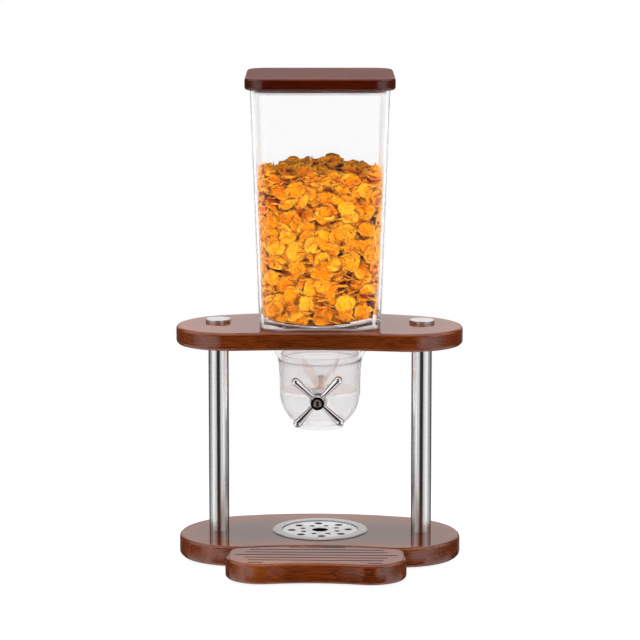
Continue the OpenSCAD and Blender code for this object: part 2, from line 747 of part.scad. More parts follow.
module paddle_wheel() {
    tip_r = bowl_r - paddle_gap;
    color(cream) on_axle() difference() {
        union() {
            translate([0, 0, -hub_half]) cylinder(d = hub_d, h = 2 * hub_half, $fn = 48);
            for (k = [0:paddles - 1]) rotate([0, 0, 60 + 360 * k / paddles]) rotate([90, 0, 0])
                translate([0, 0, -paddle_t / 2]) linear_extrude(paddle_t) paddle_profile(tip_r);
        }
        translate([0, 0, -hub_half - over]) drive_hole(2 * (hub_half + over));
    }
}

// A petal: the part of a disc beyond the hub, cut off at the hub's ends.
module paddle_profile(tip_r) {
    intersection() {
        circle(r = tip_r, $fn = 96);
        translate([hub_d / 2 - over, -hub_half]) square([tip_r, 2 * hub_half]);
    }
}

// An arm: a cone that starts inside the hub's wall and runs into the ball, almost touching along its side.
module handle_arm() {
    ball_x = arm_reach - ball_d / 2;
    root = axle_d / 2 + 1;
    tuck = 0.2;
    inner = ball_d / 2 - tuck;
    taper = asin((inner - arm_neck_d / 2) / (ball_x - root));
    cone_end = [inner * cos(taper), ball_x - inner * sin(taper)];
    rotate([0, 90, 0]) rotate_extrude($fn = 32) union() {
        polygon([[0, root], [arm_neck_d / 2, root], cone_end, [0, cone_end.y]]);
        intersection() {
            translate([0, ball_x]) circle(d = ball_d, $fn = 48);
            translate([0, root]) square([ball_d, arm_reach]);
        }
    }
}

module cross_handle() {
    rim = 1.5;
    color(chromed) on_axle() difference() {
        union() {
            rotate_extrude($fn = 64) polygon([[0, handle_y], [handle_hub_d / 2 - rim, handle_y],
                [handle_hub_d / 2, handle_y + rim], [handle_hub_d / 2, dome_y - rim], [handle_hub_d / 2 - rim, dome_y],
                [0, dome_y]]);
            translate([0, 0, handle_y + arm_back]) for (k = [0:handle_arms - 1])
                rotate([0, 0, 45 + handle_turn + 360 * k / handle_arms]) rotate([0, -arm_tilt, 0]) handle_arm();
        }
        translate([0, 0, handle_y - over]) drive_hole(handle_hub_len + 2 * over);
    }
}

module handle_washer() {
    color("silver") on_axle() translate([0, 0, thrust_y]) ring(handle_hub_d / 2 + 1, axle_d / 2 + run_gap, thrust_t);
}

// A low dome with a rim, hollow over the end of the axle.
module dome_nut() {
    rim_h = 1.5;
    base_r = dome_d / 2 - dome_rim;
    dome_r = (pow(base_r, 2) + pow(dome_h - rim_h, 2)) / (2 * (dome_h - rim_h));
    color("#2c2622") on_axle() translate([0, 0, dome_y]) difference() {
        rotate_extrude($fn = 64) union() {
            square([dome_d / 2, rim_h]);
            intersection() {
                translate([0, dome_h - dome_r]) circle(r = dome_r, $fn = 96);
                translate([0, rim_h / 2]) square([base_r, dome_h]);
            }
        }
        translate([0, 0, -over]) cylinder(r = axle_d / 2 + run_gap, h = dome_h / 2 + over + seat_gap, $fn = 48);
    }
}

module rear_clip() {
    color("#5a5d60") on_axle() translate([0, 0, -clip_y - clip_t]) difference() {
        cylinder(d = clip_d, h = clip_t, $fn = 48);
        translate([0, 0, -over]) cylinder(r = axle_d / 2 - flat_depth + run_gap, h = clip_t + 2 * over, $fn = 48);
        // the open mouth that lets it slide onto its groove
        translate([-(axle_d / 2 - flat_depth + run_gap), 0, -over])
            cube([axle_d - 2 * flat_depth + 2 * run_gap, clip_d, clip_t + 2 * over]);
    }
}

// ---- Drip dish ----

pocket_r = strainer_d / 2 + free_gap;               // the dish's pocket for the strainer
dish_body_r = pocket_r + dish_wall;                 // outside of the dish below its rim
strainer_z = base_top - strainer_t;                 // the ledge that carries the strainer

module drip_dish() {
    floor_z = base_top - dish_depth;
    well_r = pocket_r - ledge_w;
    lip_z = base_top + dish_proud;
    outer = dish_rim_d / 2;
    color(steel) translate([0, post_y, 0]) rotate_extrude($fn = 128) polygon([[0, floor_z],
        [well_r - dish_wall, floor_z], [well_r + dish_wall, floor_z + 2 * dish_wall],
        [well_r + dish_wall, strainer_z - dish_wall], [dish_body_r, strainer_z - dish_wall],
        [dish_body_r, base_top], [outer, base_top], [outer, base_top + dish_proud / 3],
        [outer - dish_proud, lip_z], [pocket_r, lip_z], [pocket_r, strainer_z], [well_r, strainer_z],
        [well_r, floor_z + 2 * dish_wall + dish_wall / 2], [well_r - dish_wall * 1.5, floor_z + dish_wall],
        [0, floor_z + dish_wall]]);
}

module strainer_plate() {
    color(steel) translate([0, post_y, strainer_z]) linear_extrude(strainer_t) difference() {
        circle(d = strainer_d, $fn = 128);
        circle(d = finger_hole_d, $fn = 64);
        for (k = [0:strainer_holes - 1]) {
            rotate(strainer_turn + 360 * k / strainer_holes) translate([large_ring_r, 0]) circle(d = large_hole_d, $fn = 32);
            rotate(strainer_turn + 360 * (k + 0.5) / strainer_holes) translate([small_ring_r, 0])
                circle(d = small_hole_d, $fn = 32);
        }
    }
}

// ---- Rest block ----

module groove(half) {
    translate([0, 0, base_top - groove_depth]) linear_extrude(groove_depth + over) union() {
        square([2 * half - groove_w, groove_w], center = true);
        for (side = [-1, 1]) translate([side * (half - groove_w / 2), 0]) circle(d = groove_w, $fn = 24);
    }
}

module rest_block() {
    first_y = post_y + block_back_y - groove_first;
    color(walnut) difference() {
        translate([0, post_y, foot_h]) board(block_chains, base_t, edge_round);
        for (i = [0:len(groove_halves) - 1]) translate([0, first_y - i * groove_pitch, 0]) groove(groove_halves[i]);
        for (side = [-1, 1]) translate([side * groove_short_x, first_y - len(groove_halves) * groove_pitch, 0])
            groove(groove_short_half);
        at_dowels() translate([0, 0, dowel_in - dowel_len - seat_gap])
            cylinder(r = dowel_d / 2 + run_gap, h = dowel_len + seat_gap, $fn = 48);
        at_block_feet() translate([0, 0, foot_h - over])
            cylinder(d = foot_plug_d + seat_gap, h = foot_plug_len + over + seat_gap, $fn = 48);
    }
}

module rest_block_feet() {
    color("#3a3a3a") at_block_feet() foot();
}

module rest_block_dowels() {
    color("#c79a63") at_dowels() translate([0, 0, dowel_in - dowel_len]) cylinder(d = dowel_d, h = dowel_len, $fn = 48);
}

base_board();
base_feet();
left_post();
right_post();
left_tie_rod();
right_tie_rod();
rod_nuts();
rod_washers();
left_cap();
right_cap();
shelf_board();
hopper_bin();
lid_board();
lid_plug();
lid_seal();
lid_screws();
outlet_housing();
housing_gasket();
front_bushing();
rear_bushing();
axle();
paddle_wheel();
cross_handle();
handle_washer();
dome_nut();
rear_clip();
drip_dish();
strainer_plate();
rest_block();
rest_block_feet();
rest_block_dowels();
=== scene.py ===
import json
import math
import bpy
import bmesh
import numpy as np
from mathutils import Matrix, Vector


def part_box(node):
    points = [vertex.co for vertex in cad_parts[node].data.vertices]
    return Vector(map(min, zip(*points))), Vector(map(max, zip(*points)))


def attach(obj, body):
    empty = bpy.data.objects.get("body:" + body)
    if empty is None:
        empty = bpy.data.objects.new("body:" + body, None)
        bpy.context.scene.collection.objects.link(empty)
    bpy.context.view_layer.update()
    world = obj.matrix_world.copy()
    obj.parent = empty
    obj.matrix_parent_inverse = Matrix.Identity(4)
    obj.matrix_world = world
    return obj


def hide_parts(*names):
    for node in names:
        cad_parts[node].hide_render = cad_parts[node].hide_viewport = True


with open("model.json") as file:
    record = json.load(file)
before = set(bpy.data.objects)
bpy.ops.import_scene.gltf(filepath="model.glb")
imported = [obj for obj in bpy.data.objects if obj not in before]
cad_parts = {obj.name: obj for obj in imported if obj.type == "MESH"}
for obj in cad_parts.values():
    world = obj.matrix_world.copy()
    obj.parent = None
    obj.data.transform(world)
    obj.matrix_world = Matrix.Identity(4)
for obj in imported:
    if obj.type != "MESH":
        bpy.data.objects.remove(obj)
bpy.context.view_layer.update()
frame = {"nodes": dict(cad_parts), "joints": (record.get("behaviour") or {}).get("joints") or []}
print("stage: frame loaded")


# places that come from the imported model
def middle(node):
    low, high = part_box(node)
    return (low + high) / 2


axlePoint = next(Vector(j["pos_m"]) for j in frame["joints"] if j["name"] == "rotor_spin")
postY = axlePoint.y
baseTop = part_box("base_board")[1].z
shelfLow, shelfTop = (corner.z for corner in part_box("shelf_board"))
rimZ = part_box("hopper_bin")[1].z

cameraSet = dict(
    distance=3.660,      # m, level distance from the post line
    height=0.8462,       # m above the base board's top
    turn=1.955,          # degrees to the right of straight ahead
    tilt=9.047,          # degrees down
    focalPixels=3018.7,  # focal length in pixels of the 640 pixel frame
    frameWidth=640,
    sensor=36.0,         # mm
    farEnd=50,           # m, how far it sees
)


def makeCamera(s):
    data = bpy.data.cameras.new("viewCamera")
    data.sensor_width = s["sensor"]
    data.lens = s["focalPixels"] / s["frameWidth"] * s["sensor"]
    data.clip_end = s["farEnd"]
    cam = bpy.data.objects.new("viewCamera", data)
    bpy.context.scene.collection.objects.link(cam)
    turn, tilt = math.radians(s["turn"]), math.radians(s["tilt"])
    cam.location = (s["distance"] * math.sin(turn), postY - s["distance"] * math.cos(turn),
                    baseTop + s["height"])
    cam.rotation_euler = (math.pi / 2 - tilt, 0, turn)
    bpy.context.scene.camera = cam


makeCamera(cameraSet)


class Wire:
    # a socket; + - * / and ** on it add Math or Vector Math nodes
    def __init__(self, graph, socket):
        self.graph, self.socket = graph, socket

    def isVector(self):
        return self.socket.type in ("VECTOR", "RGBA")

    def maths(self, op, a, b):
        if not self.isVector():
            return self.graph.add("ShaderNodeMath", {"operation": op}, {0: a, 1: b})
        if op == "MULTIPLY" and isinstance(b, (int, float)):
            return self.graph.add("ShaderNodeVectorMath", {"operation": "SCALE"}, {0: a, "Scale": b})
        wide = [v if isinstance(v, (Wire, tuple)) else (v, v, v) for v in (a, b)]
        return self.graph.add("ShaderNodeVectorMath", {"operation": op}, {0: wide[0], 1: wide[1]})

    def __add__(self, other):
        return self.maths("ADD", self, other)

    def __radd__(self, other):
        return self.maths("ADD", other, self)

    def __sub__(self, other):
        return self.maths("SUBTRACT", self, other)

    def __rsub__(self, other):
        return self.maths("SUBTRACT", other, self)

    def __mul__(self, other):
        return self.maths("MULTIPLY", self, other)

    def __rmul__(self, other):
        return self.maths("MULTIPLY", other, self)

    def __truediv__(self, other):
        return self.maths("DIVIDE", self, other)

    def __rtruediv__(self, other):
        return self.maths("DIVIDE", other, self)

    def __pow__(self, other):
        return self.maths("POWER", self, other)

    def take(self, op, other=0.0):    # any other Math operation
        return self.graph.add("ShaderNodeMath", {"operation": op}, {0: self, 1: other})

    def out(self, name):              # another output of the same node
        return Wire(self.graph, self.socket.node.outputs[name])


class Graph:
    # a node tree; every node comes from add: its type, its settings, then its inputs
    def __init__(self, tree):
        self.tree = tree
        tree.nodes.clear()

    def add(self, kind, settings=None, inputs=None, output=0):
        node = self.tree.nodes.new(kind)
        for key, value in (settings or {}).items():
            if key == "stops":
                self.setStops(node.color_ramp, value)
            else:
                setattr(node, key, value)
        for key, value in (inputs or {}).items():
            socket = node.inputs[key]
            if isinstance(value, Wire):
                self.tree.links.new(value.socket, socket)
            elif socket.type == "RGBA" and len(value) == 3:
                socket.default_value = (*value, 1)
            else:
                socket.default_value = value
        return Wire(self, node.outputs[output]) if node.outputs else None

    def setStops(self, ramp, stops):
        while len(ramp.elements) < len(stops):
            ramp.elements.new(0.5)
        for element, (place, colour) in zip(ramp.elements, stops):
            element.position = place
            element.color = (colour,) * 3 + (1,) if isinstance(colour, (int, float)) else (*colour, 1)

    def ramp(self, value, *stops):
        return self.add("ShaderNodeValToRGB", {"stops": stops}, {"Fac": value})

    def mask(self, value, start, end):    # 0 before start, 1 after end
        return self.add("ShaderNodeMapRange", {"interpolation_type": "SMOOTHSTEP"},
                        {"Value": value, "From Min": start, "From Max": end})

    def mix(self, factor, a, b):          # two colours: its inputs 6 and 7, its output 2
        return self.add("ShaderNodeMix", {"data_type": "RGBA", "blend_type": "MIX"},
                        {0: factor, 6: a, 7: b}, output=2)

    def blendShaders(self, factor, a, b):
        return self.add("ShaderNodeMixShader", {}, {0: factor, 1: a, 2: b})

    def noise(self, place, detail, rough):    # its scale is in its place
        return self.add("ShaderNodeTexNoise", {},
                        {"Vector": place, "Scale": 1.0, "Detail": detail, "Roughness": rough})

    def place(self, scale=(1, 1, 1), shift=(0, 0, 0)):
        spot = self.add("ShaderNodeTexCoord", output="Object")
        return self.add("ShaderNodeMapping", {}, {"Vector": spot, "Scale": scale, "Location": shift})

    def split(self, vector):
        parts = self.add("ShaderNodeSeparateXYZ", {}, {0: vector})
        return parts, parts.out("Y"), parts.out("Z")

    def bump(self, height, strength, depth):
        return self.add("ShaderNodeBump", {}, {"Height": height, "Strength": strength, "Distance": depth})

    def surface(self, **inputs):          # baseColor=... sets the socket Base Color
        return self.add("ShaderNodeBsdfPrincipled", {}, {socketName(k): v for k, v in inputs.items()})

    def finish(self, shader, kind="Material"):
        self.add("ShaderNodeOutput" + kind, {}, {"Surface": shader})


def socketName(word):
    spaced = "".join(" " + c if c.isupper() else c for c in word)
    return (spaced[0].upper() + spaced[1:]).replace("Ior", "IOR")


def material(name):
    made = bpy.data.materials.new(name)
    made.use_nodes = True
    return made, Graph(made.node_tree)


def shade(colour, amount):
    return tuple(min(1.0, c * amount) for c in colour)


def meshObject(name, points, faces):
    mesh = bpy.data.meshes.new(name)
    mesh.from_pydata(np.asarray(points).tolist(), [], faces if isinstance(faces, list) else faces.tolist())
    thing = bpy.data.objects.new(name, mesh)
    bpy.context.scene.collection.objects.link(thing)
    return thing


def softNormals(thing, angle):            # smooth, with sharp edges past an angle, and flat faces kept flat
    thing.data.shade_smooth()
    thing.data.set_sharp_from_angle(angle=math.radians(angle))
    weight = thing.modifiers.new("weight", "WEIGHTED_NORMAL")
    weight.keep_sharp = True
    solved = bpy.context.evaluated_depsgraph_get()
    baked = bpy.data.meshes.new_from_object(thing.evaluated_get(solved), preserve_all_data_layers=True,
                                            depsgraph=solved)
    old, thing.data = thing.data, baked
    thing.modifiers.clear()
    bpy.data.meshes.remove(old)


def gridFaces(rows, columns, wrapRows=False, wrapColumns=True):
    # quads of a grid whose points are numbered row by row
    r = np.arange(rows if wrapRows else rows - 1)[:, None]
    c = np.arange(columns if wrapColumns else columns - 1)[None, :]
    nextRow, nextColumn = (r + 1) % rows, (c + 1) % columns
    low, high = r * columns, nextRow * columns
    return np.stack([low + c, low + nextColumn, high + nextColumn, high + c], -1).reshape(-1, 4)


def tidyMesh(thing, reach=1e-6, flat=0.0):
    # merge doubles, drop empty faces, turn the faces outwards
    work = bmesh.new()
    work.from_mesh(thing.data)
    bmesh.ops.remove_doubles(work, verts=work.verts, dist=reach)
    if flat:
        bmesh.ops.dissolve_limit(work, angle_limit=math.radians(flat), verts=work.verts, edges=work.edges)
    else:
        bmesh.ops.dissolve_degenerate(work, edges=work.edges, dist=reach / 10)
        bmesh.ops.recalc_face_normals(work, faces=work.faces)
    work.to_mesh(thing.data)
    work.free()


copySet = dict(
    reach=2e-6,           # m, points nearer than this are one
    flat=0.3,             # degrees, faces this near to one plane are joined
    sharp=32,             # degrees, an edge past this stays sharp
)


def smoothCopy(node, name, s=copySet):    # a merged copy of a CAD node with soft normals
    thing = bpy.data.objects.new(name, frame["nodes"][node].data.copy())
    thing.data.materials.clear()
    bpy.context.scene.collection.objects.link(thing)
    tidyMesh(thing, s["reach"], s["flat"])
    if thing.data.has_custom_normals:
        thing.data.attributes.remove(thing.data.attributes["custom_normal"])
    softNormals(thing, s["sharp"])
    return thing


def dress(thing, finish, body, *nodes):   # its material, its body and the CAD nodes that it stands for
    thing.data.materials.clear()
    thing.data.materials.append(finish)
    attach(thing, body)
    if nodes:
        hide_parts(*nodes)
    return thing


walnutSet = dict(
    ringSpacing=0.0034,   # m between growth rings
    ringDepth=0.11,       # m from the board's middle down to the heart of the trunk
    heartAside=0.02,      # m, how far the heart lies in front of the frame's middle
    wander=0.020,         # m, how far the rings wander along the board
    slowShare=0.35,       # share of that in shorter waves
    body=0.70,            # darkest of the clouds against the wood's own tone
    streak=0.42,          # strength of the fine streaks
    line=0.62,            # strength of the dark ring lines
    pore=0.30,            # strength of the pores
    rough=(0.40, 0.10),   # roughness of the wood, and how much the clouds add
    coatRough=0.07,
    coatIor=1.8,
    grainDepth=0.0003,    # m
)
woodTones = dict(         # dark lines, body and light streaks of each board
    stand=((0.0196, 0.0024, 0.0002), (0.0737, 0.0121, 0.0009), (0.1350, 0.0303, 0.0041)),
    shelf=((0.0216, 0.0031, 0.0002), (0.0681, 0.0110, 0.0008), (0.1162, 0.0255, 0.0033)),
    block=((0.0148, 0.0015, 0.0002), (0.0621, 0.0101, 0.0008), (0.1183, 0.0259, 0.0034)),
    lid=((0.0083, 0.0006, 0.0001), (0.0298, 0.0026, 0.0001), (0.0513, 0.0065, 0.0003)),
    dowel=((0.40, 0.22, 0.10), (0.55, 0.34, 0.17), (0.66, 0.44, 0.25)),
)


def walnut(name, tones, height, shift=0.0, coat=0.75, s=walnutSet):
    # rings: distance from a trunk axis along X, plus a slow wander; streaks: noise drawn out along X
    # height is the board's middle, and shift moves the grain so that no two boards match
    made, g = material(name)
    dark, mid, light = tones
    wander = g.noise(g.place(scale=(3.2, 9, 9), shift=(shift, shift, 0)), 3, 0.5) - 0.5
    slow = g.noise(g.place(scale=(7, 22, 22), shift=(0, shift, shift)), 3, 0.5) - 0.5
    x, y, z = g.split(g.place(shift=(0, s["heartAside"] + shift * 0.01, s["ringDepth"] - height)))
    radius = (y ** 2 + z ** 2).take("SQRT") + wander * s["wander"] + slow * (s["wander"] * s["slowShare"])
    ring = (radius / s["ringSpacing"]).take("FRACT")
    cloud = g.noise(g.place(scale=(9, 16, 16), shift=(shift, 2, 1)), 4, 0.6)
    fibre = g.noise(g.place(scale=(24, 620, 620), shift=(shift, 0, 0)), 4, 0.62)
    pores = g.noise(g.place(scale=(75, 1700, 1700), shift=(shift, 0, 0)), 2, 0.5)
    tone = g.ramp(cloud, (0.30, shade(mid, s["body"])), (0.52, mid), (0.76, light))
    tone = g.mix(g.mask(fibre, 0.42, 0.66) * s["streak"], tone, light)
    tone = g.mix(g.mask(fibre, 0.52, 0.34) * s["streak"], tone, dark)
    lines = g.mask(ring, 0.55, 0.93) * g.mask(ring, 1.0, 0.95) * g.mask(slow + 0.5, 0.36, 0.60)
    tone = g.mix(lines * s["line"], tone, dark)
    tone = g.mix(g.mask(pores, 0.62, 0.72) * s["pore"], tone, dark)
    plain, cloudy = s["rough"]
    g.finish(g.surface(baseColor=tone, roughness=cloud * cloudy + plain, ior=1.45, specularIorLevel=0.0,
                       coatWeight=coat, coatRoughness=s["coatRough"], coatIor=s["coatIor"],
                       normal=g.bump(fibre + pores * 0.4, 0.05, s["grainDepth"])))
    return made


steelSet = dict(
    lines=(60, 60, 5200),    # scratches per m along X, Y and Z
    spread=0.10,             # how much the scratches add to the roughness
    cloudy=0.05,             # how much wider clouds add
    dull=0.91,               # colour of a scratch against the plain steel's
    bright=1.06,
    scratch=0.08,            # how deep the scratches look
    wellPaintedShadeTone=0.06,          # painted shade in a well, against the plain steel's colour
)


def brushedSteel(name, colour, rough, lines=steelSet["lines"], spread=steelSet["spread"], metal=1.0,
                 drawn=0.0, well=None, s=steelSet):
    # fine scratches: noise squeezed along one axis; drawn blurs along Z
    # painted shade: a well, given by two heights, turns dark from the first down to the second
    made, g = material(name)
    scratch = g.noise(g.place(scale=lines), 3, 0.7)
    cloud = g.noise(g.place(scale=(30, 30, 30)), 2, 0.5)
    tone = g.mix(scratch, shade(colour, s["dull"]), shade(colour, s["bright"]))
    # painted shade: the steel darkens down into the well
    if well:
        x, y, z = g.split(g.place())
        tone = g.mix(g.mask(z, *well), tone, shade(colour, s["wellPaintedShadeTone"]))
    g.finish(g.surface(baseColor=tone, metallic=metal, anisotropic=drawn, anisotropicRotation=0.25,
                       roughness=scratch * spread + cloud * s["cloudy"] + rough - 0.07,
                       normal=g.bump(scratch, s["scratch"], 0.0001)))
    return made


chromeSet = dict(colour=(0.92, 0.92, 0.925), rough=0.035, smudge=0.04, fine=0.02)


def polishedMetal(name, s):
    # mirror metal with faint smudges in its roughness
    made, g = material(name)
    cloud = g.noise(g.place(scale=(140, 140, 140)), 4, 0.6)
    haze = g.noise(g.place(scale=(900, 900, 900)), 2, 0.5)
    tone = g.mix(cloud, shade(s["colour"], 0.97), s["colour"])
    g.finish(g.surface(baseColor=tone, metallic=1.0,
                       roughness=cloud * s["smudge"] + haze * s["fine"] + s["rough"]))
    return made


domeSet = dict(
    ringWidth=0.0019,        # m
    # painted reflection: the rim's near-black colour stands for the dark camera side it mirrors
    ring=(0.012, 0.011, 0.010),
    bronze=(0.23, 0.185, 0.150),
    darkFrom=0.42,           # share of the dome's radius where painted shade on the bronze starts
    darkest=0.2,
    edgeSoft=0.0002,         # m, half of the blur between ring and dome
)


def domeMetal(s):
    # a near-black rim, a painted dark reflection of the camera's side, then a bronze brown dome with
    # painted shade towards its edge: split by the distance from the axle
    made, g = material("domeFinish")
    x, y, z = g.split(g.place(shift=(0, 0, -axlePoint.z)))
    reach = (x ** 2 + z ** 2).take("SQRT")
    edge = middle("dome_nut").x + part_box("dome_nut")[1].x - s["ringWidth"]
    cloud = g.noise(g.place(scale=(300, 300, 300)), 3, 0.6)
    bronze = g.mix(cloud, shade(s["bronze"], 0.85), shade(s["bronze"], 1.1))
    # painted shade: the bronze darkens towards the dome's edge
    paintedDomeShade = g.mask(reach, edge * s["darkFrom"], edge) * 0.8
    bronze = g.mix(paintedDomeShade, bronze, shade(s["bronze"], s["darkest"]))
    # the near-black rim is a painted dark reflection
    tone = g.mix(g.mask(reach, edge - s["edgeSoft"], edge + s["edgeSoft"]), bronze, s["ring"])
    g.finish(g.surface(baseColor=tone, metallic=1.0, roughness=cloud * 0.06 + 0.09))
    return made


lightPassed = 0.97    # how much light clear plastic lets through to what is inside or behind it


def clearPlastic(name, tint, ior, veil=0.0, rim=0.0, fall=4, haze=0.9):
    # refracts to the eye and lets light through; a grey haze: veil all over, rim where it is seen edge on;
    # the rim's haze is painted light, pale glare on the bin and dark edge shade on the bell
    made, g = material(name)
    cloud = g.noise(g.place(scale=(12, 12, 7)), 2, 0.4)
    tone = g.mix(cloud, tint, shade(tint, 1.02))
    clear = g.surface(baseColor=tone, roughness=cloud * 0.01, ior=ior, transmissionWeight=1.0,
                      normal=g.bump(cloud, 0.02, 0.0005))
    if veil or rim:
        pale = g.surface(baseColor=(haze,) * 3, roughness=0.5)
        edge = g.add("ShaderNodeLayerWeight", {}, {"Blend": 0.5}, output="Facing") ** fall
        # painted edge light: the haze blended in where the surface is seen edge on
        clear = g.blendShaders(cloud * (0.1 if veil else 0.0) + edge * rim + veil, clear, pale)
    path = g.add("ShaderNodeLightPath")
    through = g.add("ShaderNodeBsdfTransparent", {}, {"Color": (lightPassed,) * 3})
    pick = path.out("Is Shadow Ray").take("MAXIMUM", path.out("Is Diffuse Ray"))
    g.finish(g.blendShaders(pick, clear, through))
    return made


siliconeSet = dict(rough=0.32, mottled=0.12, ior=1.41, glow=0.35, glowDepth=0.004)


def silicone(name, tint, clear, alpha=1.0, s=siliconeSet):
    # soft translucent silicone with a faint moulded mottle
    made, g = material(name)
    mottle = g.noise(g.place(scale=(160, 160, 160)), 4, 0.6)
    tone = g.mix(mottle, shade(tint, 0.96), tint)
    g.finish(g.surface(baseColor=tone, roughness=mottle * s["mottled"] + s["rough"], ior=s["ior"],
                       transmissionWeight=clear, alpha=alpha, subsurfaceWeight=s["glow"],
                       subsurfaceScale=s["glowDepth"], normal=g.bump(mottle, 0.05, 0.0002)))
    return made


def rubber(name, colour):                 # black rubber with a fine grit
    made, g = material(name)
    grit = g.noise(g.place(scale=(1400, 1400, 1400)), 3, 0.6)
    tone = g.mix(grit, shade(colour, 0.7), shade(colour, 1.3))
    g.finish(g.surface(baseColor=tone, roughness=grit * 0.2 + 0.6, normal=g.bump(grit, 0.2, 0.0002)))
    return made


baseZ, shelfZ, lidZ = middle("base_board").z, middle("shelf_board").z, middle("lid_board").z
standWood = walnut("standWood", woodTones["stand"], baseZ)
shelfWood = walnut("shelfWood", woodTones["shelf"], shelfZ, shift=4.2)
blockWood = walnut("blockWood", woodTones["block"], baseZ, shift=9.1)
lidWood = walnut("lidWood", woodTones["lid"], lidZ, shift=13.3, coat=0.60)
dowelWood = walnut("dowelWood", woodTones["dowel"], baseZ, shift=2.0)
dishTop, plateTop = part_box("drip_dish")[1].z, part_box("strainer_plate")[1].z
postSteel = brushedSteel("postSteel", (0.94, 0.94, 0.94), 0.21, spread=0.06, drawn=0.90)
capSteel = brushedSteel("capSteel", (0.60, 0.60, 0.605), 0.28, (4200, 90, 90), metal=0.85)
dishSteel = brushedSteel("dishSteel", (0.44, 0.44, 0.44), 0.30, (2600, 120, 120), metal=0.70,
                         well=(dishTop - 0.0004, dishTop - 0.0018))
plateSteel = brushedSteel("plateSteel", (0.70, 0.70, 0.70), 0.34, (2600, 120, 120), metal=0.50,
                          well=(plateTop - 0.0002, plateTop - 0.0008))
bushSteel = brushedSteel("bushSteel", (0.75, 0.75, 0.77), 0.38, (200, 4200, 200), metal=0.35)
axleSteel = brushedSteel("axleSteel", (0.86, 0.85, 0.84), 0.40, (200, 4200, 200), metal=0.10)
zincSteel = brushedSteel("zincSteel", (0.60, 0.61, 0.62), 0.30, (600, 600, 600))
chromeFinish = polishedMetal("chromeFinish", chromeSet)
domeFinish = domeMetal(domeSet)
# the bin's pale rim haze is a painted glare on its corners
clearBin = clearPlastic("clearBin", (0.998, 0.998, 0.998), ior=1.27, rim=0.42, fall=2, haze=0.92)
# painted light: a strong pale haze whitens the bin's lower edge and floor, for the brightness seen through
# its base
clearBowl = clearPlastic("clearBowl", (0.98, 0.98, 0.98), ior=1.2, veil=0.62, haze=0.85)
clearNeck = clearPlastic("clearNeck", (0.96, 0.96, 0.965), ior=1.03, veil=0.06, haze=0.6)
# the bell's grey rim haze is painted edge shade
clearBell = clearPlastic("clearBell", (0.95, 0.95, 0.955), ior=1.22, veil=0.10, rim=0.75, haze=0.42)
creamSilicone = silicone("creamSilicone", (1.0, 0.95, 0.90), 0.1, alpha=0.34)
sealSilicone = silicone("sealSilicone", (0.90, 0.90, 0.90), 0.4)
gasketSilicone = clearPlastic("gasketSilicone", (0.96, 0.96, 0.96), ior=1.02)
footRubber = rubber("footRubber", (0.03, 0.03, 0.03))
print("stage: finishes made")

plainPieces = [    # CAD node, piece, finish and body
    ("base_board", "walnutBase", standWood, "stand"),
    ("shelf_board", "walnutShelf", shelfWood, "stand"),
    ("rest_block", "walnutBlock", blockWood, "rest_block"),
    ("lid_board", "walnutLid", lidWood, "lid"),
    ("lid_plug", "lidPlug", lidWood, "lid"),
    ("lid_seal", "lidSeal", sealSilicone, "lid"),
    ("lid_screws", "lidScrews", zincSteel, "lid"),
    ("left_post", "leftPost", postSteel, "stand"),
    ("right_post", "rightPost", postSteel, "stand"),
    ("left_cap", "leftCap", capSteel, "stand"),
    ("right_cap", "rightCap", capSteel, "stand"),
    ("left_tie_rod", "leftRod", zincSteel, "stand"),
    ("right_tie_rod", "rightRod", zincSteel, "stand"),
    ("rod_nuts", "rodNuts", zincSteel, "stand"),
    ("rod_washers", "rodWashers", zincSteel, "stand"),
    ("base_feet", "baseFeet", footRubber, "stand"),
    ("rest_block_feet", "blockFeet", footRubber, "rest_block"),
    ("rest_block_dowels", "blockDowels", dowelWood, "rest_block"),
    ("outlet_housing", "clearOutlet", clearBell, "stand"),
    ("housing_gasket", "outletGasket", gasketSilicone, "stand"),
    ("front_bushing", "frontBushing", bushSteel, "stand"),
    ("rear_bushing", "rearBushing", axleSteel, "stand"),
    ("axle", "axleRod", axleSteel, "rotor"),
    ("paddle_wheel", "softPaddles", creamSilicone, "rotor"),
    ("cross_handle", "crossHandle", chromeFinish, "rotor"),
    ("handle_washer", "handleWasher", zincSteel, "rotor"),
    ("dome_nut", "domeNut", domeFinish, "rotor"),
    ("rear_clip", "rearClip", axleSteel, "rotor"),
    ("drip_dish", "dripDish", dishSteel, "dish"),
    ("strainer_plate", "strainerPlate", plateSteel, "strainer"),
]
for node, name, finish, body in plainPieces:
    dress(smoothCopy(node, name), finish, body, node)
print("stage: plain pieces dressed")

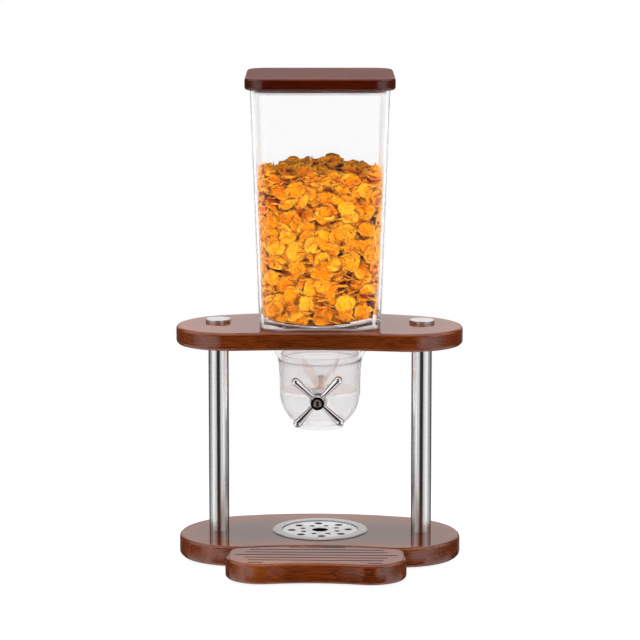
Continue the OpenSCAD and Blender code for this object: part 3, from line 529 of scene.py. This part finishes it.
binSet = dict(
    turn=2.0,            # degrees, as the neck is turned in its seat
    lowWidth=0.147,      # outside width at the shelf
    topWidth=0.168,      # outside width at the rim
    corner=0.022,        # corner radius outside
    wall=0.0035,
    lowRound=0.0065,     # roundover of the lower edge
    throat=0.056,        # inside radius of the neck in the shelf
    neckWall=0.003,
    neckDrop=0.0235,     # from the shelf's underside to the neck's end
    mouth=0.0486,        # inside radius of the neck's end
    mouthHeight=0.008,
    bowlLow=0.003,       # bowl floor's inner edge above the shelf
    bowlRise=0.017,      # rise of the bowl floor to the corners
    rimSoft=0.0008,
    lip=0.001,           # step from the throat up to the floor
    floorPower=0.9,      # below 1 the floor's rings stand wider near the throat
    floorShare=0.94,     # share of the way to the wall where the floor's fillet begins
    filletFrom=0.97,     # share of the way whose floor height it starts from
    filletRise=0.005,
    hollowEdge=0.004,    # extra wall at the outer edge of the hollow under the floor
    hollowLow=-0.004,    # how far down the hollow goes
    neckTop=-0.006,      # where the neck's outside meets the hollow
    neckSoft=(0.0006, 0.0008),   # chamfer of the neck's end, across and up
    neckBelow=-0.002,    # the neck's finish is below this
    edgeBelow=0.004,     # the bowl's finish is below this outside
    floorBelow=0.024,    # and below this inside
    sharp=40,            # degrees, an edge past this stays sharp
    columns=384,
)
binHeight = rimZ - shelfTop


def binHalf(height, s=binSet):            # half of the outside width at a height: a straight taper
    return (s["lowWidth"] + (s["topWidth"] - s["lowWidth"]) * height / binHeight) / 2


def bowlFloor(radius, s=binSet):          # low at the throat, then rising with the square of the way out
    edge = binHalf(0) * math.sqrt(2)
    t = np.clip((radius - s["throat"]) / (edge - s["throat"]), 0, 1)
    return s["bowlLow"] + s["bowlRise"] * t * t


def onBin(points, s=binSet):              # from the bin's own axes to the frame
    a = math.radians(s["turn"])
    x, y, z = np.moveaxis(np.asarray(points, float), -1, 0)
    return np.stack([x * math.cos(a) - y * math.sin(a), x * math.sin(a) + y * math.cos(a) + postY,
                     z + shelfTop], -1)


def circleRing(count):
    a = (np.arange(count) + 0.5) * 2 * math.pi / count
    return np.stack([np.cos(a), np.sin(a)], -1)


def squareRing(half, corner, count):
    # a rounded square by direction: the ray meets the flat side, or the circle centred at (inner, inner)
    way = circleRing(count)
    side, lean = abs(way).max(1), abs(way).sum(1)
    flat = half / side
    inner = half - corner
    bend = abs(way).min(1) * flat > inner
    ray = inner * lean + np.sqrt(np.maximum((inner * lean) ** 2 - 2 * inner ** 2 + corner ** 2, 0))
    return way * np.where(bend, ray, flat)[:, None]


def innerReach(inset, corner, s):         # out to the walls just above the floor, by direction
    return np.hypot(*squareRing(binHalf(0.006) - inset, corner, s["columns"]).T)


def binRings(s):
    # one closed skin: up the inside from the neck's end, over the rim, down the outside,
    # under the bowl and down the neck; each ring is a circle or a rounded square at a height
    n = s["columns"]
    way = circleRing(n)
    rings = []

    def ring(flat, height):
        rings.append(np.column_stack([flat, np.broadcast_to(height, n)]))

    def square(height, inset):
        ring(squareRing(binHalf(height) - inset, max(s["corner"] - inset, s["corner"] / 2), n), height)

    throat, mouth, wall = s["throat"], s["mouth"], s["wall"]
    neckEnd = shelfLow - shelfTop - s["neckDrop"]
    coneTop = neckEnd + s["mouthHeight"] + (throat - mouth) * 2
    for radius, height in ((mouth, neckEnd), (mouth, neckEnd + s["mouthHeight"]), (throat, coneTop),
                           (throat, s["bowlLow"] - s["lip"])):
        ring(way * radius, height)
    wallReach = innerReach(wall, s["corner"] - wall, s)
    for t in np.linspace(0, 1, 14)[1:] ** s["floorPower"] * s["floorShare"]:
        reach = throat + (wallReach - throat) * t
        ring(way * reach[:, None], bowlFloor(reach))
    floorEdge = bowlFloor(wallReach * s["filletFrom"])
    for turn in np.linspace(0.25, 1, 4):                     # fillet between floor and wall
        lift = s["filletRise"] * turn ** 1.6
        share = s["floorShare"] + (1 - s["floorShare"]) * math.sin(turn * math.pi / 2)
        ring(way * (wallReach * share + lift * 0.04)[:, None], floorEdge + lift)
    for height in np.linspace(0.04, binHeight - 0.001, 8):
        square(height, wall)
    square(binHeight, wall)
    square(binHeight, s["rimSoft"])
    for height in (binHeight - s["rimSoft"], *np.linspace(binHeight - 0.01, 0.02, 8)):
        square(height, 0.0)
    for turn in np.linspace(0, math.pi / 2, 7):              # roundover of the lower edge
        square(s["lowRound"] * (1 - math.sin(turn)), s["lowRound"] * (1 - math.cos(turn)))
    ring(squareRing(binHalf(0) - s["lowRound"] - wall, s["corner"] - s["lowRound"], n), 0.0)
    underReach = innerReach(wall * 2, s["corner"] - wall * 2, s)
    outNeck = throat + s["neckWall"]
    for t in (1.0, 0.97, 0.9, 0.75, 0.55, 0.35, 0.15, 0.0):   # the hollow under the bowl floor
        reach = outNeck + (underReach - outNeck) * t
        under = bowlFloor(reach) - wall - (s["hollowEdge"] if t == 1.0 else 0)
        ring(way * reach[:, None], np.maximum(under, s["hollowLow"]))
    outMouth = mouth + s["neckWall"]
    across, up = s["neckSoft"]
    for radius, height in ((outNeck, s["neckTop"]), (outNeck, coneTop - s["mouthHeight"]),
                           (outMouth, neckEnd + up), (outMouth - across, neckEnd)):
        ring(way * radius, height)
    return rings


def makeBin(s):
    rings = binRings(s)
    faces = gridFaces(len(rings), s["columns"], wrapRows=True)
    thing = meshObject("clearHopper", onBin(np.concatenate(rings)), faces)
    tidyMesh(thing)
    softNormals(thing, s["sharp"])
    dress(thing, clearBin, "stand", "hopper_bin")
    thing.data.materials.append(clearNeck)
    thing.data.materials.append(clearBowl)
    # the neck, then the floor's inside and the lower edge, have finishes of their own; the floor's and
    # lower edge's pale veil is painted light
    centres = np.array([face.center for face in thing.data.polygons]) - (0, postY, shelfTop)
    inner = abs(centres[:, :2]).max(1) < binHalf(0.01) - s["wall"] - 0.0015
    height = centres[:, 2]
    low = (inner & (height < s["floorBelow"])) | (height < s["edgeBelow"])
    sort = np.where(height < s["neckBelow"], 1, np.where(low, 2, 0))
    thing.data.polygons.foreach_set("material_index", sort.astype(np.int32))


makeBin(binSet)
print("stage: bin made")

flakeSet = dict(
    seed=41,
    kinds=28,            # different flakes
    size=0.0113,         # m, mean radius of a flake
    spread=0.14,         # how much the radius varies
    grow=(0.86, 1.10),   # and how much each flake is scaled again
    thick=0.0013,
    curl=0.20,           # how deep a flake is dished
    grid=6,              # points along each side of a flake's grid
    fillTop=0.184,       # heap's edge above the shelf
    heap=0.011,          # how much higher the heap's middle stands
    heapRadius=0.07,
    ripple=0.0025,
    waves=(70, 60),      # how quickly the ripples follow each other along x and y
    lowRow=0.010,        # height of the lowest row above the shelf
    rowStep=0.0142,
    sideStep=0.0158,
    sideJitter=0.35,     # share of a step
    layers=(0.0024, 0.0070, 0.0125, 0.0180),   # depths behind the wall
    topStep=0.0135,
    topSinks=(0.0, 0.007),   # depths below the heap's top
    topInset=0.008,      # from the bin's outside to the heap's first flakes
    topOver=0.002,       # flakes at the wall stand no more than this over the heap
    lean=0.20,           # usual tilt away from the wall
    lyingShare=0.46,     # flakes that lie flat and show their edge
    lyingLean=0.32,
    lyingTurn=(-0.1, 0.7),   # how much of the wall's facing a lying flake keeps
    gap=0.0005,
    darkFrom=0.006,      # painted shade on the flakes starts this far behind the wall
    darkOver=0.013,
    lightTop=0.006,      # and the light reaches this much deeper from above
    nearWall=(0.93, 0.07),   # share of the way to the wall where the floor's fillet starts, and its width
    nearWallRise=0.002,
)


def flakeMaterial():
    # golden: each flake its own tone, blisters by noise, the rim paler as a painted highlight, the hollows
    # toasted, and painted shade, darker and redder, on flakes deep inside the heap
    made, g = material("toastedFlake")
    tone, rim, deep = (g.add("ShaderNodeAttribute", {"attribute_name": key}, output="Fac")
                       for key in ("flakeTone", "flakeRim", "flakeDepth"))
    blister = g.noise(g.place(scale=(330, 330, 330)), 3, 0.6)
    fine = g.noise(g.place(scale=(850, 850, 850)), 2, 0.6)
    grain = (blister - 0.5) * 1.5 + (fine - 0.5) * 2.3 + 0.5
    base = g.ramp(tone * 0.35 + grain * 0.65, (0.15, (0.58, 0.085, 0.0)), (0.40, (0.84, 0.230, 0.0)),
                  (0.58, (0.93, 0.325, 0.0)), (0.76, (0.98, 0.440, 0.016)), (0.96, (1.0, 0.58, 0.090)))
    # painted highlight: each flake's rim is drawn paler
    base = g.mix(g.mask(rim, 0.88, 1.0) * 0.65, base, (1.0, 0.60, 0.09))
    base = g.mix(g.mask(blister, 0.56, 0.72) * 0.55, base, (0.59, 0.085, 0.0))
    # painted shade: flakes deep behind the wall or below the heap's top are mixed towards a dark red brown
    base = g.mix(deep * 0.92, base, (0.50, 0.032, 0.0))
    g.finish(g.surface(baseColor=base, roughness=blister * 0.25 + 0.40, ior=1.4, specularIorLevel=0.0,
                       normal=g.bump(blister * 0.70 + fine * 0.30, 1.0, 0.0022)))
    return made


def flakeShapes(rng, s):
    # square grid bent to a disc: x = u sqrt(1 - v*v/2), y = v sqrt(1 - u*u/2)
    # its radius has lobes, and its height is a dish, a fold and ripples
    n, kinds = s["grid"], s["kinds"]
    u, v = np.meshgrid(np.linspace(-1, 1, n), np.linspace(-1, 1, n))
    x, y = u * np.sqrt(1 - v * v / 2), v * np.sqrt(1 - u * u / 2)
    rho, angle = np.hypot(x, y), np.arctan2(y, x)
    wave = rng.uniform(0, 2 * math.pi, (4, kinds, 1, 1))
    radius = s["size"] * (1 + s["spread"] * rng.uniform(-1, 1, (kinds, 1, 1)))
    lobes = 1 + rho * (0.08 * np.sin(2 * angle + wave[0]) + 0.05 * np.sin(3 * angle + wave[1])
                       + 0.05 * np.sin(5 * angle + wave[2]))
    px, py = radius * lobes * x, radius * lobes * y
    dish = s["curl"] * rng.uniform(0.2, 1.8, (kinds, 1, 1)) * rho ** 2
    fold = rng.uniform(-0.35, 0.45, (kinds, 1, 1)) * x ** 2
    ripple = 0.09 * rho ** 2 * np.sin(3 * angle + wave[3]) + 0.035 * rng.normal(size=(kinds, n, n))
    pz = radius * (dish + fold + ripple)
    half = s["thick"] / 2 * (1 - rho ** 6)
    top, under = (np.stack([px, py, pz + side * half], -1).reshape(kinds, -1, 3) for side in (1, -1))
    quads = gridFaces(n, n, wrapColumns=False)
    inside = (np.maximum(abs(u), abs(v)) < 0.999).ravel()
    # both skins share the rim's points
    number = np.where(inside, n * n + np.cumsum(inside) - 1, np.arange(n * n))
    faces = np.concatenate([quads, number[quads][:, ::-1]])
    rim = np.concatenate([rho.ravel(), rho.ravel()[inside]])
    return np.concatenate([top, under[:, inside]], 1), rim, faces


def facing(normals, spin):
    # axes of each flake: its z on the normal, its x turned by spin
    z = normals / np.linalg.norm(normals, axis=1, keepdims=True)
    helper = np.where(abs(z[:, 2:]) < 0.9, [[0.3, 0.2, 0.93]], [[1.0, 0.0, 0.0]])
    side = np.cross(z, helper)
    side /= np.linalg.norm(side, axis=1, keepdims=True)
    other = np.cross(z, side)
    c, s = np.cos(spin)[:, None], np.sin(spin)[:, None]
    return np.stack([side * c + other * s, other * c - side * s, z], 2)


def pastWall(p, gap):                     # how far points lie beyond the flat walls, along x and y
    half = binHalf(np.maximum(p[..., 2], 0)) - binSet["wall"] - gap
    return abs(p[..., 0]) - half, abs(p[..., 1]) - half, half


def pushInside(p, gap):
    # move whole flakes off the walls and the bowl floor, then draw single points into the rounded corners
    for axis in (0, 1):
        over = pastWall(p, gap)[axis]
        worst = np.take_along_axis(p[..., axis], over.argmax(1)[:, None], 1)
        p[..., axis] -= np.sign(worst) * np.maximum(over.max(1, keepdims=True), 0)
    reach = np.hypot(p[..., 0], p[..., 1])
    under = np.where(reach > binSet["throat"], bowlFloor(reach) + gap - p[..., 2], 0)
    p[..., 2] += np.maximum(under.max(1, keepdims=True), 0)
    overX, overY, half = pastWall(p, gap)
    corner = binSet["corner"] - binSet["wall"]
    cx, cy = overX + corner, overY + corner
    away = np.hypot(cx, cy)
    out = (cx > 0) & (cy > 0) & (away > corner)
    scale = np.where(out, corner / np.maximum(away, 1e-9), 1)
    p[..., 0] = np.where(out, np.sign(p[..., 0]) * (half - corner + cx * scale), p[..., 0])
    p[..., 1] = np.where(out, np.sign(p[..., 1]) * (half - corner + cy * scale), p[..., 1])
    edge = np.hypot(p[..., 0], p[..., 1])
    start, width = flakeSet["nearWall"]
    rise = np.clip((edge / half - start) / width, 0, 1) * flakeSet["nearWallRise"]
    floor = bowlFloor(edge) + gap + rise
    p[..., 2] = np.where(edge > binSet["throat"], np.maximum(p[..., 2], floor), p[..., 2])
    return p


def heapTop(x, y, s):                     # a low dome with two soft ripples
    r = np.hypot(x, y) / s["heapRadius"]
    dome = s["fillTop"] + s["heap"] * (1 - np.minimum(r, 1.3) ** 2)
    return dome + s["ripple"] * np.sin(x * s["waves"][0] + 1) * np.cos(y * s["waves"][1])


def wallSpots(rng, s, depth, height):
    # one jittered row along the walls: even steps along a rounded square, facing out of it
    probe = 0.001                         # m along the wall, to find which way it faces
    corner = max(binSet["corner"] - binSet["wall"] - depth, 0.004)
    ring = squareRing(binHalf(height) - binSet["wall"] - depth, corner, 720)
    ring = np.r_[ring, ring[:1]]
    length = np.r_[0, np.cumsum(np.hypot(*np.diff(ring, axis=0).T))]
    around = length[-1]
    count = int(around / s["sideStep"])
    at = np.arange(count) + rng.uniform(0, 1) + rng.uniform(-s["sideJitter"], s["sideJitter"], count)
    at = at * around / count % around
    x, y, dx, dy = (np.interp((at + step) % around, length, ring[:, k])
                    for step in (0, probe) for k in (0, 1))
    z = height + rng.uniform(-0.5, 0.5, count) * s["rowStep"]
    keep = z < heapTop(x, y, s) + s["topOver"]
    return np.stack([x, y, z], -1)[keep], np.stack([dy - y, x - dx, 0 * x], -1)[keep] / probe


def flakeSpots(rng, s):
    # places and facings: rows along the walls in layers, then a jittered square over the heap
    spots = [wallSpots(rng, s, depth, height) for depth in s["layers"]
             for height in np.arange(s["lowRow"], s["fillTop"] + 0.004, s["rowStep"])]
    span = binHalf(s["fillTop"]) - s["topInset"]
    x, y = (v.ravel() for v in np.meshgrid(*[np.arange(-span, span, s["topStep"])] * 2))
    for sink in s["topSinks"]:
        px, py = (v + rng.uniform(-0.5, 0.5, v.shape) * s["topStep"] for v in (x, y))
        spots.append((np.stack([px, py, heapTop(px, py, s) - sink], -1),
                      np.tile([0.0, 0.0, 1.0], (len(px), 1))))
    places, normals = zip(*spots)
    return np.concatenate(places), np.concatenate(normals)


def flakeDepth(points, s):                # painted shade: 0 at the wall or the heap's top, 1 far inside
    overX, overY, half = pastWall(points, s["gap"])
    fromTop = heapTop(points[..., 0], points[..., 1], s) + s["lightTop"] - points[..., 2]
    return np.clip((np.minimum(-np.maximum(overX, overY), fromTop) - s["darkFrom"]) / s["darkOver"], 0, 1)


def makeFlakes(s):
    # every flake is one of the shapes, turned by its axes and moved to its place
    rng = np.random.default_rng(s["seed"])
    finish = flakeMaterial()
    shapes, rim, faces = flakeShapes(rng, s)
    places, normals = flakeSpots(rng, s)
    count = len(places)
    lying = rng.uniform(size=count) < s["lyingShare"]
    upward = np.array([0, 0, 1.0]) + normals * rng.uniform(*s["lyingTurn"], count)[:, None]
    tilted = np.where(lying[:, None], upward, normals)
    tilted = tilted + rng.normal(size=(count, 3)) * np.where(lying, s["lyingLean"], s["lean"])[:, None]
    axes = facing(tilted, rng.uniform(0, 2 * math.pi, count))
    kind = rng.integers(len(shapes), size=count)
    grow = rng.uniform(*s["grow"], count)
    tone = rng.uniform(0, 1, count)
    points = np.einsum("fij,fpj->fpi", axes, shapes[kind] * grow[:, None, None]) + places[:, None, :]
    points = pushInside(points, s["gap"])
    depth = flakeDepth(points, s)
    number = shapes.shape[1]
    sort = np.where(normals[:, 2] > 0.9, 0, np.where(normals[:, 1] < -0.2, 1, 2))
    for group, name in enumerate(("flakesTop", "flakesFront", "flakesBack")):
        chosen = np.flatnonzero(sort == group)
        allFaces = (faces[None] + np.arange(len(chosen))[:, None, None] * number).reshape(-1, 4)
        thing = meshObject(name, onBin(points[chosen].reshape(-1, 3)), allFaces)
        thing.data.shade_smooth()
        notes = dict(flakeTone=np.repeat(tone[chosen], number), flakeRim=np.tile(rim, len(chosen)),
                     flakeDepth=depth[chosen].ravel())
        for key, values in notes.items():
            note = thing.data.attributes.new(key, "FLOAT", "POINT")
            note.data.foreach_set("value", values.astype(np.float32))
        dress(thing, finish, "stand")
        print("stage:", name, len(chosen), "flakes")


coreSet = dict(
    columns=96,
    rows=36,
    inset=0.026,         # m, from the bin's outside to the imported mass
    corner=0.018,
    low=-0.012,          # its lower end, in the neck
    neckRadius=0.047,
    neckTop=0.012,       # round below this height, square above
    under=0.010,         # its edge below the heap's edge
    peakUnder=0.014,     # its middle below the heap's middle
    lump=0.0012,
)


def makeCore(s, fill):
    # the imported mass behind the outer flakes: the bin's inside drawn in, with a lumpy skin
    n, rows = s["columns"], s["rows"]
    rng = np.random.default_rng(fill["seed"] + 1)
    heights = np.linspace(s["low"], fill["fillTop"] - s["under"], rows)
    rings = [squareRing(binHalf(h) - s["inset"], s["corner"], n) if h > s["neckTop"]
             else circleRing(n) * s["neckRadius"] for h in heights]
    points = np.column_stack([np.concatenate(rings), np.repeat(heights, n)])
    points = points + rng.normal(size=(rows * n, 3)) * s["lump"]
    points = np.concatenate([points, [[0, 0, heights[0]], [0, 0, heapTop(0, 0, fill) - s["peakUnder"]]]])
    around = np.arange(n)
    low, high, last = rows * n, rows * n + 1, (rows - 1) * n
    ends = [[low, (i + 1) % n, i] for i in around] + [[high, last + i, last + (i + 1) % n] for i in around]
    thing = meshObject("flakeCore", onBin(points), gridFaces(rows, n).tolist() + ends)
    tidyMesh(thing)
    thing.data.shade_smooth()
    made, g = material("paintedFlakeShade")
    lump = g.noise(g.place(scale=(170, 170, 170)), 4, 0.6)
    # painted shade: the hidden mass is a darker, redder orange than the flakes, for the heap's shaded
    # depths
    tone = g.ramp(lump, (0.3, (0.55, 0.060, 0.0001)), (0.7, (0.90, 0.180, 0.0005)))
    g.finish(g.surface(baseColor=tone, roughness=0.8, specularIorLevel=0.0,
                       normal=g.bump(lump, 0.8, 0.003)))
    dress(thing, made, "stand")


makeFlakes(flakeSet)
makeCore(coreSet, flakeSet)
print("stage: flakes poured")

studioSet = dict(
    floorRings=(0.02, 0.2, 0.5, 1.4),   # m
    shadowKept=0.09,      # how much of the floor's own shading the eye sees
    shadowReach=(0.26, 0.55),   # m, the floor turns plain white between these
    fill=0.60,            # even light from all round
    clearShare=0.96,      # how white the world is through clear plastic
    tall=((0.00, 0.018), (0.075, 0.036), (0.17, 0.97), (0.34, 0.97), (0.47, 0.25), (0.58, 0.08),
          (0.84, 0.05), (0.90, 0.28), (1.0, 0.28)),     # cards round the object, front to back
    ball=((0.00, 0.003), (0.285, 0.003), (0.320, 1.1), (0.66, 1.1), (0.70, 0.04), (0.86, 0.04),
          (0.90, 0.28), (1.0, 0.28)),                   # and above and below, by the angle from the eye
    backCard=(0.93, 0.91, 0.90),        # what the level tops reflect
    aim=(0, 0, 0.3),
)
studioLamps = [           # name, place, size in m and power in W
    ("leftLamp", (-1.5, -1.6, 1.7), (0.7, 1.5), 23.0),
    ("rightLamp", (1.5, -1.6, 1.7), (0.7, 1.5), 23.0),
    ("topLamp", (0, 0.1, 2.1), (1.4, 1.0), 160.0),
]


def makeFloor(s):
    # a round floor, plain white to the eye but for the object's soft shadow near it
    rings = np.concatenate([circleRing(128) * r for r in s["floorRings"]])
    points = np.column_stack([rings, np.zeros(len(rings))])
    floor = meshObject("studioFloor", points, gridFaces(4, 128).tolist() + [list(range(128))])
    tidyMesh(floor)
    if floor.data.polygons[0].normal.z < 0:
        floor.data.flip_normals()
    made, g = material("floorPaint")
    path = g.add("ShaderNodeLightPath")
    grain = g.noise(g.place(scale=(40, 40, 40)), 2, 0.5)
    matt = g.surface(baseColor=g.mix(grain, (0.93, 0.93, 0.93), (0.95, 0.95, 0.95)), roughness=0.9)
    glow = g.add("ShaderNodeEmission", {}, {"Color": (1, 1, 1), "Strength": 1.0})
    x, y, z = g.split(g.place())
    far = g.mask((x ** 2 + y ** 2).take("SQRT"), *s["shadowReach"])
    seen = path.out("Is Camera Ray").take("MAXIMUM", path.out("Is Transmission Ray"))
    g.finish(g.blendShaders(seen * (far * s["shadowKept"] + (1 - s["shadowKept"])), matt, glow))
    floor.data.materials.append(made)
    floor.visible_glossy = False          # metal and lacquer reflect the world's cards instead


def makeWorld(s):
    # white to the eye; cards of light and dark for metal and lacquer; plain grey light for the rest
    world = bpy.data.worlds.new("studio")
    bpy.context.scene.world = world
    world.use_nodes = True
    g = Graph(world.node_tree)
    path = g.add("ShaderNodeLightPath")
    x, y, z = g.split(g.add("ShaderNodeTexCoord", output="Generated"))
    around = x.take("ARCTAN2", y * -1.0).take("ABSOLUTE") / math.pi      # 0 the camera's side, 1 behind
    apart = (y * -1.0).take("ARCCOSINE") / math.pi
    tall = g.ramp(around, *s["tall"])
    ball = g.ramp(apart, *s["ball"])
    card = g.mix(g.mask(z.take("ABSOLUTE"), 0.22, 0.30), tall, ball)
    card = g.mix(g.mask(around, 0.80, 0.90) * g.mask(z, 0.085, 0.130), card, s["backCard"])
    tone = g.mix(path.out("Is Glossy Ray"), (s["fill"],) * 3, card)
    tone = g.mix(path.out("Is Transmission Ray"), tone, g.mix(s["clearShare"], card, (1, 1, 1)))
    tone = g.mix(path.out("Is Camera Ray"), tone, (1, 1, 1))
    g.finish(g.add("ShaderNodeBackground", {}, {"Color": tone, "Strength": 1.0}), "World")


def lamp(name, place, aim, size, power):
    data = bpy.data.lights.new(name, "AREA")
    data.shape = "RECTANGLE"
    data.size, data.size_y = size
    data.energy = power
    thing = bpy.data.objects.new(name, data)
    bpy.context.scene.collection.objects.link(thing)
    thing.location = place
    thing.rotation_euler = (Vector(aim) - Vector(place)).to_track_quat("-Z", "Y").to_euler()
    thing.visible_glossy = False


def makeStudio(s):
    makeFloor(s)
    makeWorld(s)
    for name, place, size, power in studioLamps:
        lamp(name, place, s["aim"], size, power)


makeStudio(studioSet)
bpy.context.scene.view_settings.view_transform = "Standard"
print("stage: studio set")
